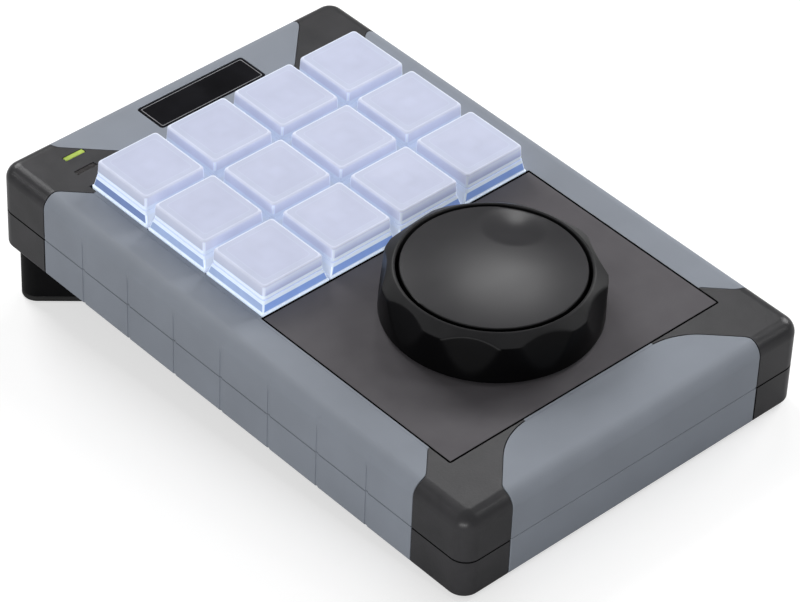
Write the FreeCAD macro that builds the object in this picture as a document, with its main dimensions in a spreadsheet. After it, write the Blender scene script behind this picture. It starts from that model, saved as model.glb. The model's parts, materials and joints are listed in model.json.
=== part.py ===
import FreeCAD, Part
import os
import Sketcher

os.makedirs("parts", exist_ok=True)
doc = FreeCAD.newDocument("keypad")

# The sizes that are chosen, in mm and degrees.
# The case frame has x to the right, y to the back and z up from the case's bottom.

SIZES = [
    # case, around the keys and the knob
    ("side_margin", 10.1),
    ("front_margin", 15.65),
    ("rear_margin", 18.8),
    ("case_height", 21.3),
    ("top_round", 3.5),
    ("corner_extra", 0.5),
    ("foot_round", 0.8),
    ("wall", 3.0),
    ("floor_thick", 2.2),
    ("seam_height", 9.65),
    ("seam_gap", 0.3),
    ("tongue_thick", 0.8),
    ("tongue_high", 2.0),
    ("fit_gap", 0.05),
    ("tilt", 5.5),
    ("centre_shift", 0.9),
    ("overcut", 1.0),
    # grips
    ("grip_thick", 1.4),
    ("grip_gap", 0.2),
    ("side_corner", 15.4),
    ("end_corner", 12.6),
    ("grip_curve", 16.0),
    ("end_curve", 3.0),
    ("rib_pitch", 15.07),
    ("rib_wide", 0.8),
    ("rib_deep", 0.5),
    ("rib_high", 19.9),
    ("rib_count", 7),
    # keys
    ("key_pitch", 19.05),
    ("key_gap", 1.01),
    ("well_gap", 0.4),
    ("key_sink", 0.8),
    ("flange_high", 1.2),
    ("flange_step", 0.3),
    ("base_high", 4.2),
    ("shelf_in", 0.75),
    ("shelf_rim", 0.9),
    ("shelf_thick", 1.0),
    ("tray_high", 1.4),
    ("tray_rim", 0.6),
    ("base_skin", 0.2),
    ("base_draft", 2.0),
    ("key_corner", 1.2),
    ("cover_high", 3.6),
    ("cover_lean", 0.15),
    ("cover_corner", 0.8),
    ("cover_round", 0.6),
    ("cover_thick", 0.9),
    ("cover_draft", 8.0),
    ("plunger_wide", 7.0),
    ("plunger_deep", 5.4),
    # switches and boards, down from the case's top
    ("plate_deep", 6.5),
    ("switch_deep", 5.0),
    ("switch_rise", 6.6),
    ("board_thick", 1.6),
    ("board_gap", 1.9),
    ("board_near", 21.75),
    ("board_far", 16.75),
    ("tongue_wide", 24.0),
    ("tongue_gap", 0.75),
    ("mount_plate_thick", 1.5),
    ("mount_side", 13.425),
    ("mount_end", 12.95),
    ("switch_gap", 3.45),
    ("switch_rim", 0.8),
    ("switch_flange_high", 1.0),
    ("switch_lean", 0.9),
    ("switch_wall", 1.4),
    ("plunger_gap", 0.1),
    ("led_wide", 2.4),
    ("led_deep", 1.8),
    ("led_high", 1.3),
    # knob and its panel
    ("knob_front", 4.6),
    ("knob_rear", 4.73),
    ("panel_rim", 0.205),
    ("panel_thick", 1.2),
    ("panel_gap", 0.2),
    ("lip", 0.5),
    ("disc_radius", 19.75),
    ("disc_high", 12.0),
    ("disc_thick", 2.6),
    ("disc_round", 0.3),
    ("disc_gap", 0.55),
    ("dimple_in", 6.05),
    ("dimple_angle", 29.0),
    ("dimple_radius", 5.3),
    ("dimple_deep", 0.9),
    ("ring_thick", 3.4),
    ("ring_flat", 0.6),
    ("ring_slope", 2.0),
    ("ring_sink", 0.1),
    ("ring_lift", 0.6),
    ("web_low", 2.2),
    ("web_thick", 1.6),
    ("scallop_count", 9),
    ("scallop_radius", 30.0),
    ("scallop_lean", 10.5),
    ("scallop_start", 175.0),
    ("scallop_deep", 1.75),
    ("shaft_radius", 3.0),
    ("shaft_spare", 0.8),
    ("hub_radius", 5.0),
    ("hub_gap", 0.4),
    ("sleeve_radius", 5.6),
    ("sleeve_deep", 5.8),
    ("sleeve_gap", 1.2),
    ("bush_radius", 7.4),
    ("bush_high", 1.7),
    ("bush_gap", 0.2),
    ("encoder_wide", 30.0),
    ("encoder_gap", 0.4),
    ("stop_out", 14.0),
    ("stop_radius", 1.0),
    ("stop_high", 1.4),
    ("stop_angle", 84.0),
    ("lug_wide", 2.0),
    ("lug_long", 3.0),
    # windows and badge, from the rear corner
    ("window_long", 5.4),
    ("window_wide", 1.5),
    ("lens_stand", 0.4),
    ("green_in", 14.2),
    ("green_back", 8.3),
    ("red_in", 13.2),
    ("red_back", 13.6),
    ("badge_x", 1.8),
    ("badge_back", 9.0),
    ("badge_wide", 30.0),
    ("badge_long", 8.8),
    ("badge_thick", 0.8),
    ("badge_corner", 0.8),
    # socket
    ("socket_wide", 8.6),
    ("socket_high", 4.4),
    ("socket_long", 10.0),
    ("socket_metal", 0.5),
    ("mouth_gap", 0.6),
    ("contact_wide", 5.0),
    ("contact_high", 1.2),
    # feet, from the case's corners
    ("pad_radius", 5.0),
    ("pad_in", 11.9),
    ("pad_back", 13.75),
    ("pad_high", 2.0),
    ("leg_wide", 8.0),
    ("leg_long", 24.0),
    ("leg_in", 11.4),
    ("leg_back", 11.45),
    ("leg_turn", 45.0),
    ("leg_flat", 0.04),
    ("sole_thick", 1.6),
    # screws, from the case's corners and the board's ends
    ("screw_in", 8.3),
    ("screw_back", 7.35),
    ("screw_stop", 5.4),
    ("boss_radius", 3.4),
    ("boss_step", 0.2),
    ("thread_radius", 1.25),
    ("head_radius", 2.4),
    ("head_high", 1.6),
    ("head_sink", 0.2),
    ("post_in", 9.9),
    ("post_near", 4.0),
    ("post_far", 6.5),
    ("post_radius", 2.6),
    ("board_screw_radius", 1.0),
    ("board_screw_long", 5.0),
    ("board_head_radius", 1.9),
    ("board_head_high", 1.1),
]

# The sizes and places that follow from them.

FORMULAS = [
    # keys
    ("key_wide", "key_pitch - key_gap"),
    ("shelf_wide", "key_wide - 2 * shelf_in"),
    ("tray_wide", "shelf_wide - 2 * shelf_rim"),
    ("base_hollow", "shelf_wide - 2 * base_skin"),
    ("roof_hollow", "tray_wide - 2 * tray_rim"),
    ("cover_top", "shelf_wide - 2 * cover_lean"),
    # knob
    ("ring_bore", "disc_radius + disc_gap"),
    ("ring_radius", "ring_bore + ring_thick"),
    ("ring_top_round", "ring_bore + ring_flat"),
    ("ring_top", "disc_high - ring_sink"),
    ("ring_shoulder", "ring_top - ring_slope"),
    ("scallop_reach", "ring_radius - scallop_deep"),
    ("dimple_out", "disc_radius - dimple_in"),
    ("bush_hole", "bush_radius + bush_gap"),
    # case
    ("panel_wide", "3 * key_pitch + key_wide + 2 * panel_rim"),
    ("panel_long", "2 * ring_radius + knob_front + knob_rear"),
    ("well_long", "2 * key_pitch + key_wide + 2 * well_gap"),
    ("case_width", "panel_wide + 2 * side_margin"),
    ("case_length", "front_margin + panel_long + well_long + rear_margin"),
    ("corner_round", "top_round + corner_extra"),
    ("panel_front", "case_length / 2 - front_margin"),
    ("knob_y", "knob_front + ring_radius - panel_front"),
    ("keys_centre", "case_length / 2 - rear_margin - well_long / 2"),
    # heights inside the case
    ("plate_top", "case_height - plate_deep"),
    ("board_top", "plate_top - switch_deep"),
    ("switch_top", "plate_top + switch_rise"),
    ("plunger_end", "plate_top"),
    ("encoder_top", "case_height - wall - encoder_gap"),
    ("sleeve_end", "encoder_top - sleeve_deep"),
    ("shaft_end", "sleeve_end - shaft_spare"),
    # boards and switches
    ("board_wide", "case_width - 2 * (wall + board_gap)"),
    ("board_front", "case_length / 2 - board_near"),
    ("board_rear", "case_length / 2 - board_far"),
    ("board_end", "case_length / 2 - wall - tongue_gap"),
    ("mount_plate_wide", "3 * key_pitch + 2 * mount_side"),
    ("mount_plate_long", "2 * key_pitch + 2 * mount_end"),
    ("switch_flange", "key_pitch - switch_gap"),
    ("switch_wide", "switch_flange - 2 * switch_rim"),
    ("switch_top_wide", "switch_wide - 2 * switch_lean"),
    # windows and badge
    ("green_x", "green_in - case_width / 2"),
    ("green_y", "case_length / 2 - green_back"),
    ("red_x", "red_in - case_width / 2"),
    ("red_y", "case_length / 2 - red_back"),
    ("badge_y", "case_length / 2 - badge_back"),
    # feet
    ("pad_x", "case_width / 2 - pad_in"),
    ("pad_y", "case_length / 2 - pad_back"),
    ("leg_x", "case_width / 2 - leg_in"),
    ("leg_y", "case_length / 2 - leg_back"),
    ("leg_tall", "(pad_high + (pad_y + leg_y + leg_long) * sin(tilt)) / cos(tilt)"),
    # screws
    ("screw_x", "case_width / 2 - screw_in"),
    ("screw_y", "case_length / 2 - screw_back"),
    ("screw_end", "case_height - screw_stop"),
    ("boss_join", "seam_height + boss_step"),
    ("post_x", "case_width / 2 - post_in"),
    ("post_front", "board_front - post_near"),
    ("post_rear", "board_rear - post_far"),
    ("board_screw_end", "board_top - board_screw_long"),
]

sheet = doc.addObject("Spreadsheet::Sheet", "Sizes")
FORMULA_CELLS = [(alias, "=" + text) for alias, text in FORMULAS]
for row, (alias, content) in enumerate(SIZES + FORMULA_CELLS, 1):
    sheet.set("A%d" % row, alias)
    sheet.set("B%d" % row, str(content))
    sheet.setAlias("B%d" % row, alias)
doc.recompute()
ALIASES = {alias for alias, content in SIZES + FORMULAS}

X_AXIS = FreeCAD.Vector(1, 0, 0)
Z_AXIS = FreeCAD.Vector(0, 0, 1)


def sized(text):
    """An expression with every size's name pointed at the sheet."""
    words = []
    word = ""
    for letter in str(text) + " ":
        if letter.isalnum() or letter == "_":
            word += letter
            continue
        words.append("Sizes." + word if word in ALIASES else word)
        words.append(letter)
        word = ""
    return "".join(words).strip()


def value(text):
    number = sheet.evalExpression(sized(text))
    return float(getattr(number, "Value", number))


def bind(item, **sizes):
    for name, text in sizes.items():
        item.setExpression(name, sized(text))
    return item


def put(item, x="0", y="0", z="0", angle="0", axis=Z_AXIS):
    """Stands an item at a place in the case frame, turned about one axis."""
    start = FreeCAD.Vector(value(x), value(y), value(z))
    item.Placement = FreeCAD.Placement(start, FreeCAD.Rotation(axis, value(angle)))
    for letter, text in (("x", x), ("y", y), ("z", z)):
        item.setExpression("Placement.Base." + letter, sized(text))
    if angle != "0":
        item.setExpression("Placement.Rotation.Angle", sized(angle))
    return item


def block(name, wide, long, high, x="0", y="0", z="0"):
    """A plain block, centred on x and y, that stands on z."""
    item = bind(doc.addObject("Part::Box", name), Length=wide, Width=long, Height=high)
    return put(item, "%s - (%s) / 2" % (x, wide), "%s - (%s) / 2" % (y, long), z)


def rod(name, radius, high, x="0", y="0", z="0"):
    item = bind(doc.addObject("Part::Cylinder", name), Radius=radius, Height=high)
    return put(item, x, y, z)


def joined(name, items):
    item = doc.addObject("Part::MultiFuse", name)
    item.Shapes = items
    return item


def cut(name, base, tools):
    item = doc.addObject("Part::Cut", name)
    item.Base = base
    item.Tool = tools[0] if len(tools) == 1 else joined(name + "_tools", tools)
    return item


def shared(name, one, two):
    item = doc.addObject("Part::Common", name)
    item.Base = one
    item.Tool = two
    return item


def origin_plane(body, role):
    for feature in body.Origin.OriginFeatures:
        if feature.Role == role:
            return feature


def outline(body, name, corners, z="0"):
    """A closed outline of straight sides whose corners follow the sheet."""
    sketch = body.newObject("Sketcher::SketchObject", name)
    sketch.AttachmentSupport = [(origin_plane(body, "XY_Plane"), "")]
    sketch.MapMode = "FlatFace"
    sketch.setExpression("AttachmentOffset.Base.z", sized(z))
    points = [FreeCAD.Vector(value(x), value(y), 0) for x, y in corners]
    for index, point in enumerate(points):
        after = points[(index + 1) % len(points)]
        sketch.addGeometry(Part.LineSegment(point, after), False)
    for index, (x, y) in enumerate(corners):
        follower = (index + 1) % len(corners)
        sketch.addConstraint(Sketcher.Constraint("Coincident", index, 2, follower, 1))
        for kind, text in (("DistanceX", x), ("DistanceY", y)):
            rule = Sketcher.Constraint(kind, -1, 1, index, 1, value(text))
            number = sketch.addConstraint(rule)
            sketch.setExpression("Constraints[%d]" % number, sized(text))
    return sketch


def square(wide, long, x="0", y="0"):
    ends = [("-", "-"), ("+", "-"), ("+", "+"), ("-", "+")]
    corner = "%s %s (%s) / 2"
    return [(corner % (x, a, wide), corner % (y, b, long)) for a, b in ends]


def raised(body, name, corners, high, z="0", lean="0"):
    pad = body.newObject("PartDesign::Pad", name)
    pad.Profile = outline(body, name + "_outline", corners, z)
    pad.setExpression("Length", sized(high))
    if lean != "0":
        pad.setExpression("TaperAngle", sized(lean))
    body.Tip = pad
    doc.recompute()
    return pad


def hollowed(body, name, corners, deep, z="0", lean="0"):
    """A pocket that goes up from z into the body."""
    pocket = body.newObject("PartDesign::Pocket", name)
    pocket.Profile = outline(body, name + "_outline", corners, z)
    pocket.Reversed = True
    pocket.setExpression("Length", sized(deep))
    if lean != "0":
        pocket.setExpression("TaperAngle", sized(lean))
    body.Tip = pocket
    doc.recompute()
    return pocket


def softened(body, name, feature, wanted, radius):
    """Rounds the edges of a feature that a test picks out."""
    edges = feature.Shape.Edges
    names = ["Edge%d" % (number + 1) for number, edge in enumerate(edges) if wanted(edge)]
    fillet = body.newObject("PartDesign::Fillet", name)
    fillet.Base = (feature, names)
    fillet.setExpression("Radius", sized(radius))
    body.Tip = fillet
    doc.recompute()
    return fillet


def upright(edge):
    box = edge.BoundBox
    return box.ZLength > 10 * (box.XLength + box.YLength)


def level(z):
    """A test for edges that lie wholly at one height."""
    height = value(z)
    nearly = value("fit_gap")

    def at_height(edge):
        box = edge.BoundBox
        return abs(box.ZMin - height) < nearly and abs(box.ZMax - height) < nearly

    return at_height


def rounded_block(name, inset, low, high, top_round="", bottom_round=""):
    """A block inside the case's outline with rounded corners, between two heights."""
    body = doc.addObject("PartDesign::Body", name)
    wide = "case_width - 2 * (%s)" % inset
    long = "case_length - 2 * (%s)" % inset
    tip = raised(body, name + "_pad", square(wide, long), "%s - (%s)" % (high, low), low)
    tip = softened(body, name + "_corners", tip, upright, "corner_round - %s" % inset)
    if top_round:
        tip = softened(body, name + "_top", tip, level(high), top_round)
    if bottom_round:
        tip = softened(body, name + "_foot", tip, level(low), bottom_round)
    return body


def placed(item, label):
    """Names a finished sub-part and leans it back with the whole case, onto the floor."""
    item.Label = label
    lift = "pad_high * cos(tilt) + pad_y * sin(tilt)"
    put(item, "0", "centre_shift", lift, "tilt", X_AXIS)
    finished.append(item)
    return item


finished = []

# Case shells


def side_grip_corners(side, gap):
    """The plan of a long side's grip: square ends, then 45 degree ends beside the keys."""
    half = "(case_width / 2 - top_round)"
    inner = "(panel_wide / 2 + panel_gap + lip + %s)" % gap
    far = "(case_length / 2 - side_corner - %s)" % gap
    near = "(%s + %s - %s)" % (far, inner, half)
    right = [
        ("case_width", "-" + far),
        ("case_width", far),
        (half, far),
        (inner, near),
        (inner, "-" + near),
        (half, "-" + far),
    ]
    if side > 0:
        return right
    return [("-" + x, y) for x, y in reversed(right)]


def end_grip_corners(side, inner_edge, gap):
    """The plan of an end's grip: square at the wall, then 45 degrees in to the panel or the keys."""
    half = "(case_width / 2 - end_corner - %s)" % gap
    outer = "(case_length / 2 - top_round)"
    inner = "(%s + lip + %s)" % (inner_edge, gap)
    narrow = "(%s - %s + %s)" % (half, outer, inner)
    rear = [
        ("-" + half, "case_length"),
        ("-" + half, outer),
        ("-" + narrow, inner),
        (narrow, inner),
        (half, outer),
        (half, "case_length"),
    ]
    if side > 0:
        return rear
    return [(x, "-" + y) for x, y in reversed(rear)]


def grip_mask(name, low, high, corners, turning, curved):
    """A grip's plan raised between two heights, soft where its sides turn to the diagonal."""
    body = doc.addObject("PartDesign::Body", name)
    tip = raised(body, name + "_pad", corners, "%s - (%s)" % (high, low), low)

    def corner_at(back):
        place = value(back)
        side = value("case_width / 2")
        nearly = value("fit_gap")

        def chosen(edge):
            box = edge.BoundBox
            inside = abs(box.XMin) < side
            return upright(edge) and inside and abs(abs(box.YMin) - place) < nearly

        return chosen

    tip = softened(body, name + "_turns", tip, corner_at(turning), "end_curve")
    if curved:
        softened(body, name + "_bend", tip, corner_at(curved), "grip_curve")
    return body


PANEL_EDGE = "(panel_front + panel_gap)"
WELL_EDGE = "(keys_centre + key_pitch + key_wide / 2 + well_gap)"
END_EDGES = {"front": (-1, PANEL_EDGE), "rear": (1, WELL_EDGE)}
SIDES = {"left": -1, "right": 1}


def grip_plan(side, gap):
    """The corners of a grip's plan, how far back it turns to the diagonal, and where it bends again."""
    if side in SIDES:
        return side_grip_corners(SIDES[side], gap), "case_length / 2 - side_corner - %s" % gap, ""
    sign, edge = END_EDGES[side]
    return end_grip_corners(sign, edge, gap), "case_length / 2 - top_round", "%s + lip + %s" % (edge, gap)


UPPER = ("seam_height + seam_gap / 2", "case_height * 2")
LOWER = ("-case_height", "seam_height - seam_gap / 2")


def outer_skin(name):
    """The thin layer of the case between its outside and the bed that the grips lie on."""
    whole = rounded_block(name + "_whole", "0", "0", "case_height", "top_round", "foot_round")
    top = "case_height - grip_thick"
    bed = rounded_block(name + "_bed", "grip_thick", "-grip_thick", top, "top_round - grip_thick")
    return cut(name, whole, [bed])


def rib_cutter(name, side):
    """Narrow upright channels in a long side's grip, evenly spaced."""
    body = doc.addObject("PartDesign::Body", name)
    place = "%d * case_width / 2" % side
    first = "-(rib_count - 1) / 2 * rib_pitch"
    corners = square("2 * rib_deep", "rib_wide", place, first)
    pad = raised(body, name + "_pad", corners, "rib_high + overcut", "-overcut")
    pattern = body.newObject("PartDesign::LinearPattern", name + "_row")
    pattern.Originals = [pad]
    pattern.Direction = (pad.Profile[0], ["V_Axis"])
    pattern.setExpression("Length", sized("(rib_count - 1) * rib_pitch"))
    pattern.setExpression("Occurrences", sized("rib_count"))
    body.Tip = pattern
    doc.recompute()
    return body


def badge_block(name, high, z, grow="0"):
    body = doc.addObject("PartDesign::Body", name)
    wide = "badge_wide + 2 * (%s)" % grow
    long = "badge_long + 2 * (%s)" % grow
    tip = raised(body, name + "_pad", square(wide, long, "badge_x", "badge_y"), high, z)
    softened(body, name + "_corners", tip, upright, "badge_corner")
    return body


def mouth(name):
    """The opening in the rear wall that the socket looks out of."""
    wide = "socket_wide + 2 * mouth_gap"
    high = "socket_high + 2 * mouth_gap"
    return block(name, wide, "4 * wall", high, "0", "case_length / 2", "board_top - mouth_gap")


def grip(side, half):
    name = "grip_%s_%s" % (side, half)
    low, high = UPPER if half == "top" else LOWER
    mask = grip_mask(name + "_mask", low, high, *grip_plan(side, "grip_gap"))
    item = shared(name + "_layer", outer_skin(name + "_skin"), mask)
    tools = []
    if side in SIDES:
        tools.append(rib_cutter(name + "_ribs", SIDES[side]))
    if side == "rear" and half == "top":
        low = "case_height - badge_thick"
        tools.append(badge_block(name + "_badge_bed", "badge_thick * 2", low, "fit_gap"))
        tools.append(mouth(name + "_mouth"))
    if tools:
        item = cut(name + "_cut", item, tools)
    return placed(item, name)


def bosses(name, radius, low, high):
    rods = []
    for index, (x, y) in enumerate(SCREWS):
        rods.append(rod("%s_%d" % (name, index), radius, "%s - (%s)" % (high, low), x, y, low))
    return rods


SCREWS = [
    ("-screw_x", "-screw_y"),
    ("screw_x", "-screw_y"),
    ("-screw_x", "screw_y"),
    ("screw_x", "screw_y"),
]
POSTS = [
    ("-post_x", "-post_front"),
    ("post_x", "-post_front"),
    ("-post_x", "post_rear"),
    ("post_x", "post_rear"),
]


def recesses(name, half):
    """The beds that the four grips of one shell lie in."""
    low, high = UPPER if half == "top" else LOWER
    if half == "top":
        low = "0"
    else:
        high = "case_height"
    masks = []
    for side in (*SIDES, *END_EDGES):
        masks.append(grip_mask("%s_%s" % (name, side), low, high, *grip_plan(side, "0")))
    return shared(name + "_beds", outer_skin(name + "_skin"), joined(name + "_masks", masks))


def window(name, x, y, low="0", grow="0"):
    wide = "window_long + 2 * (%s)" % grow
    long = "window_wide + 2 * (%s)" % grow
    return block(name, wide, long, "case_height + overcut - (%s)" % low, x, y, low)


def panel_block(name, high, z, gap):
    """The knob panel's plan, from the front edge back to the key well."""
    body = doc.addObject("PartDesign::Body", name)
    half = "(panel_wide / 2 + %s)" % gap
    front = "-(panel_front + %s)" % gap
    rear = "keys_centre - key_pitch - key_wide / 2 - well_gap"
    corners = [("-" + half, front), (half, front), (half, rear), ("-" + half, rear)]
    raised(body, name + "_pad", corners, high, z)
    return body


def well(name):
    wide = "3 * key_pitch + key_wide + 2 * well_gap"
    return block(name, wide, "well_long", "case_height", "0", "keys_centre", "case_height / 2")


def top_case():
    whole = rounded_block("top_whole", "0", "0", "case_height", "top_round", "foot_round")
    cavity = rounded_block("top_cavity", "wall", "-overcut", "case_height - wall")
    step = "seam_height + tongue_high + fit_gap"
    rebate = rounded_block("top_rebate", "wall - tongue_thick - fit_gap", "0", step)
    low = UPPER[0] + " - case_height"
    below = block("top_below", "2 * case_width", "2 * case_length", "case_height", z=low)
    body = cut("top_hollow", whole, [cavity])
    rods = bosses("top_boss", "boss_radius", "boss_join", "case_height - wall / 2")
    body = joined("top_bossed", [body] + rods)
    tools = [
        below,
        rebate_ring("top_rebate_ring", rebate),
        recesses("top_recess", "top"),
        well("top_well"),
        panel_block("top_panel_bed", "panel_thick * 2", "case_height - panel_thick", "panel_gap"),
        rod("top_bush_hole", "bush_hole", "case_height", "0", "knob_y", "case_height / 2"),
        window("top_green", "green_x", "green_y"),
        window("top_red", "red_x", "red_y"),
        mouth("top_mouth"),
    ]
    tools += bosses("top_thread", "thread_radius", "0", "screw_end")
    return placed(cut("top_case_cut", body, tools), "top_case")


def rebate_ring(name, rebate):
    """The step inside the top shell's lower edge, clear of the screw bosses."""
    inner = rounded_block(name + "_inner", "wall", "-overcut", "seam_height + tongue_high + overcut")
    return cut(name, rebate, [inner])


def bottom_case():
    whole = rounded_block("bottom_whole", "0", "0", "case_height", "top_round", "foot_round")
    cavity = rounded_block("bottom_cavity", "wall", "floor_thick", "case_height * 2")
    above = block("bottom_above", "2 * case_width", "2 * case_length", "case_height", z=LOWER[1])
    body = cut("bottom_hollow", whole, [cavity, above])
    root = "seam_height - tongue_high / 2"
    tongue_outer = rounded_block("tongue_outer", "wall - tongue_thick", root, "seam_height + tongue_high")
    tongue_inner = rounded_block("tongue_inner", "wall", "0", "case_height")
    tongue = cut("tongue", tongue_outer, [tongue_inner])
    pieces = [body, tongue]
    pieces += bosses("bottom_boss", "boss_radius", "floor_thick / 2", "boss_join")
    for index, (x, y) in enumerate(POSTS):
        height = "board_top - board_thick - floor_thick / 2"
        pieces.append(rod("post_%d" % index, "post_radius", height, x, y, "floor_thick / 2"))
    body = joined("bottom_joined", pieces)
    tools = [recesses("bottom_recess", "bottom"), mouth("bottom_mouth")]
    tools += bosses("bottom_thread", "thread_radius + fit_gap", "-overcut", "case_height")
    tools += bosses("bottom_head", "head_radius + fit_gap", "-overcut", "head_high")
    for index, (x, y) in enumerate(POSTS):
        name = "post_hole_%d" % index
        tools.append(rod(name, "board_screw_radius", "board_top", x, y, "board_screw_end"))
    return placed(cut("bottom_case_cut", body, tools), "bottom_case")


# Panel, badge and windows


def knob_panel():
    plate = panel_block("panel_plate", "panel_thick", "case_height - panel_thick", "0")
    stops = []
    for name, sign in (("panel_stop_left", "+"), ("panel_stop_right", "-")):
        turn = "90 %s stop_angle" % sign
        x = "stop_out * cos(%s)" % turn
        y = "knob_y + stop_out * sin(%s)" % turn
        high = "stop_high + panel_thick / 2"
        stops.append(rod(name, "stop_radius", high, x, y, "case_height - panel_thick / 2"))
    hole = rod("panel_hole", "bush_hole", "case_height", "0", "knob_y", "case_height / 2")
    return placed(cut("panel_cut", joined("panel_joined", [plate] + stops), [hole]), "knob_panel")


def badge():
    return placed(badge_block("badge_body", "badge_thick", "case_height - badge_thick"), "badge_plate")


def window_lens(label, x, y):
    body = doc.addObject("PartDesign::Body", label + "_body")
    high = "(wall + lens_stand)"
    plan = square("window_long", "window_wide", x, y)
    tip = raised(body, label + "_pad", plan, high, "case_height - " + high)
    softened(body, label + "_soft", tip, upright, "window_wide / 4")
    return placed(body, label)


# Feet


def floor_slab(name, high, raise_by):
    """A slab level with the floor, seen from the leaning case; its top is raised above the floor."""
    slab = doc.addObject("Part::Box", name)
    bind(slab, Length="4 * case_width", Width="4 * case_length", Height=high)
    drop = "(pad_high * cos(tilt) + pad_y * sin(tilt) - (%s) + (%s))" % (raise_by, high)
    back = "2 * case_length"
    y = "-(%s) * cos(tilt) - %s * sin(tilt)" % (back, drop)
    z = "(%s) * sin(tilt) - %s * cos(tilt)" % (back, drop)
    return put(slab, "-2 * case_width", y, z, "-tilt", X_AXIS)


def leg_bar(name, side):
    """An upright bar with round ends that lies along the case's diagonal."""
    body = doc.addObject("PartDesign::Body", name)
    corners = []
    ends = [("+", "+", "-"), ("+", "-", "+"), ("-", "-", "+"), ("-", "+", "-")]
    for along, right, back in ends:
        x = "leg_x %s leg_long / 2 * cos(leg_turn) %s leg_wide / 2 * sin(leg_turn)" % (along, right)
        y = "leg_y %s leg_long / 2 * sin(leg_turn) %s leg_wide / 2 * cos(leg_turn)" % (along, back)
        corners.append(("%d * (%s)" % (side, x), y))
    tip = raised(body, name + "_pad", corners, "leg_tall", "-leg_tall")
    softened(body, name + "_ends", tip, upright, "(leg_wide - leg_flat) / 2")
    return body


def rear_foot(side, word):
    name = "rear_foot_" + word
    below = floor_slab(name + "_floor", "case_length", "sole_thick")
    placed(cut(name + "_leg", leg_bar(name + "_bar", side), [below]), name)
    name = "rear_sole_" + word
    slab = floor_slab(name + "_slab", "sole_thick", "sole_thick")
    placed(shared(name + "_common", leg_bar(name + "_bar", side), slab), name)


def front_pad(side, word):
    name = "front_pad_" + word
    x = "%d * pad_x" % side
    disc = rod(name + "_disc", "pad_radius", "pad_high * 4", x, "-pad_y", "-pad_high * 4")
    placed(cut(name + "_cut", disc, [floor_slab(name + "_floor", "case_length", "0")]), name)


# Boards, switches and screws


def circuit_board():
    body = doc.addObject("PartDesign::Body", "board_body")
    half = "board_wide / 2"
    tongue = "tongue_wide / 2"
    corners = [
        ("-" + half, "-board_front"),
        (half, "-board_front"),
        (half, "board_rear"),
        (tongue, "board_rear"),
        (tongue, "board_end"),
        ("-" + tongue, "board_end"),
        ("-" + tongue, "board_rear"),
        ("-" + half, "board_rear"),
    ]
    raised(body, "board_pad", corners, "board_thick", "board_top - board_thick")
    holes = []
    for index, (x, y) in enumerate(POSTS):
        name = "board_hole_%d" % index
        holes.append(rod(name, "board_screw_radius", "board_top", x, y, "board_top / 2"))
    return placed(cut("board_cut", body, holes), "circuit_board")


def key_places():
    """Row and column of every key with its middle, front row first."""
    for row in range(3):
        for column in range(4):
            x = "%g * key_pitch" % (column - 1.5)
            y = "keys_centre + %d * key_pitch" % (row - 1)
            yield row + 1, column + 1, x, y


def mount_plate():
    low = "plate_top - mount_plate_thick"
    wide = "mount_plate_wide"
    long = "mount_plate_long"
    plate = block("mount_block", wide, long, "mount_plate_thick", "0", "keys_centre", low)
    middle = "plate_top - switch_wide / 2"
    holes = []
    for row, column, x, y in key_places():
        name = "mount_hole_%d_%d" % (row, column)
        holes.append(block(name, "switch_wide", "switch_wide", "switch_wide", x, y, middle))
    return placed(cut("mount_cut", plate, holes), "switch_plate")


def switch_housing(row, column, x, y):
    name = "housing_%d_%d" % (row, column)
    body = doc.addObject("PartDesign::Body", name)
    below = "plate_top - board_top"
    raised(body, name + "_lower", square("switch_wide", "switch_wide", x, y), below, "board_top")
    flange = square("switch_flange", "switch_flange", x, y)
    raised(body, name + "_flange", flange, "switch_flange_high", "plate_top")
    upper = "plate_top + switch_flange_high"
    lean = "-atan((switch_wide - switch_top_wide) / 2 / (switch_top - %s))" % upper
    high = "switch_top - (%s)" % upper
    raised(body, name + "_upper", square("switch_wide", "switch_wide", x, y), high, upper, lean)
    inside = "switch_top_wide - 2 * switch_wall"
    deep = "switch_top - board_top - 2 * switch_wall"
    hollowed(body, name + "_inside", square(inside, inside, x, y), deep, "board_top + switch_wall")
    wide = "plunger_wide + 2 * plunger_gap"
    long = "plunger_deep + 2 * plunger_gap"
    slot_low = "switch_top - 2 * switch_wall"
    hollowed(body, name + "_slot", square(wide, long, x, y), "4 * switch_wall", slot_low)
    return body


def grouped(label, items):
    group = doc.addObject("Part::Compound", label + "_group")
    group.Links = items
    return placed(group, label)


def switches():
    return grouped("switch_housings", [switch_housing(*place) for place in key_places()])


def backlights():
    lamps = []
    for row, column, x, y in key_places():
        name = "lamp_%d_%d" % (row, column)
        back = y + " + key_pitch / 2"
        lamps.append(block(name, "led_wide", "led_deep", "led_high", x, back, "board_top"))
    return grouped("backlight_lamps", lamps)


def socket():
    """A shell of thin metal, open to the rear, with a contact tongue inside."""
    middle = "(case_length / 2 - grip_thick - socket_long / 2)"
    shell = block("socket_shell", "socket_wide", "socket_long", "socket_high", "0", middle, "board_top")
    inner_wide = "socket_wide - 2 * socket_metal"
    inner_high = "socket_high - 2 * socket_metal"
    inside_y = middle + " + 2 * socket_metal"
    inside_z = "board_top + socket_metal"
    inside = block("socket_inside", inner_wide, "socket_long", inner_high, "0", inside_y, inside_z)
    metal = cut("socket_cut", shell, [inside])
    height = "board_top + socket_high / 2 - contact_high / 2"
    tongue_y = middle + " - socket_metal"
    long = "socket_long - 2 * socket_metal"
    tongue = block("socket_tongue", "contact_wide", long, "contact_high", "0", tongue_y, height)
    return placed(joined("socket_joined", [metal, tongue]), "data_socket")


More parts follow.
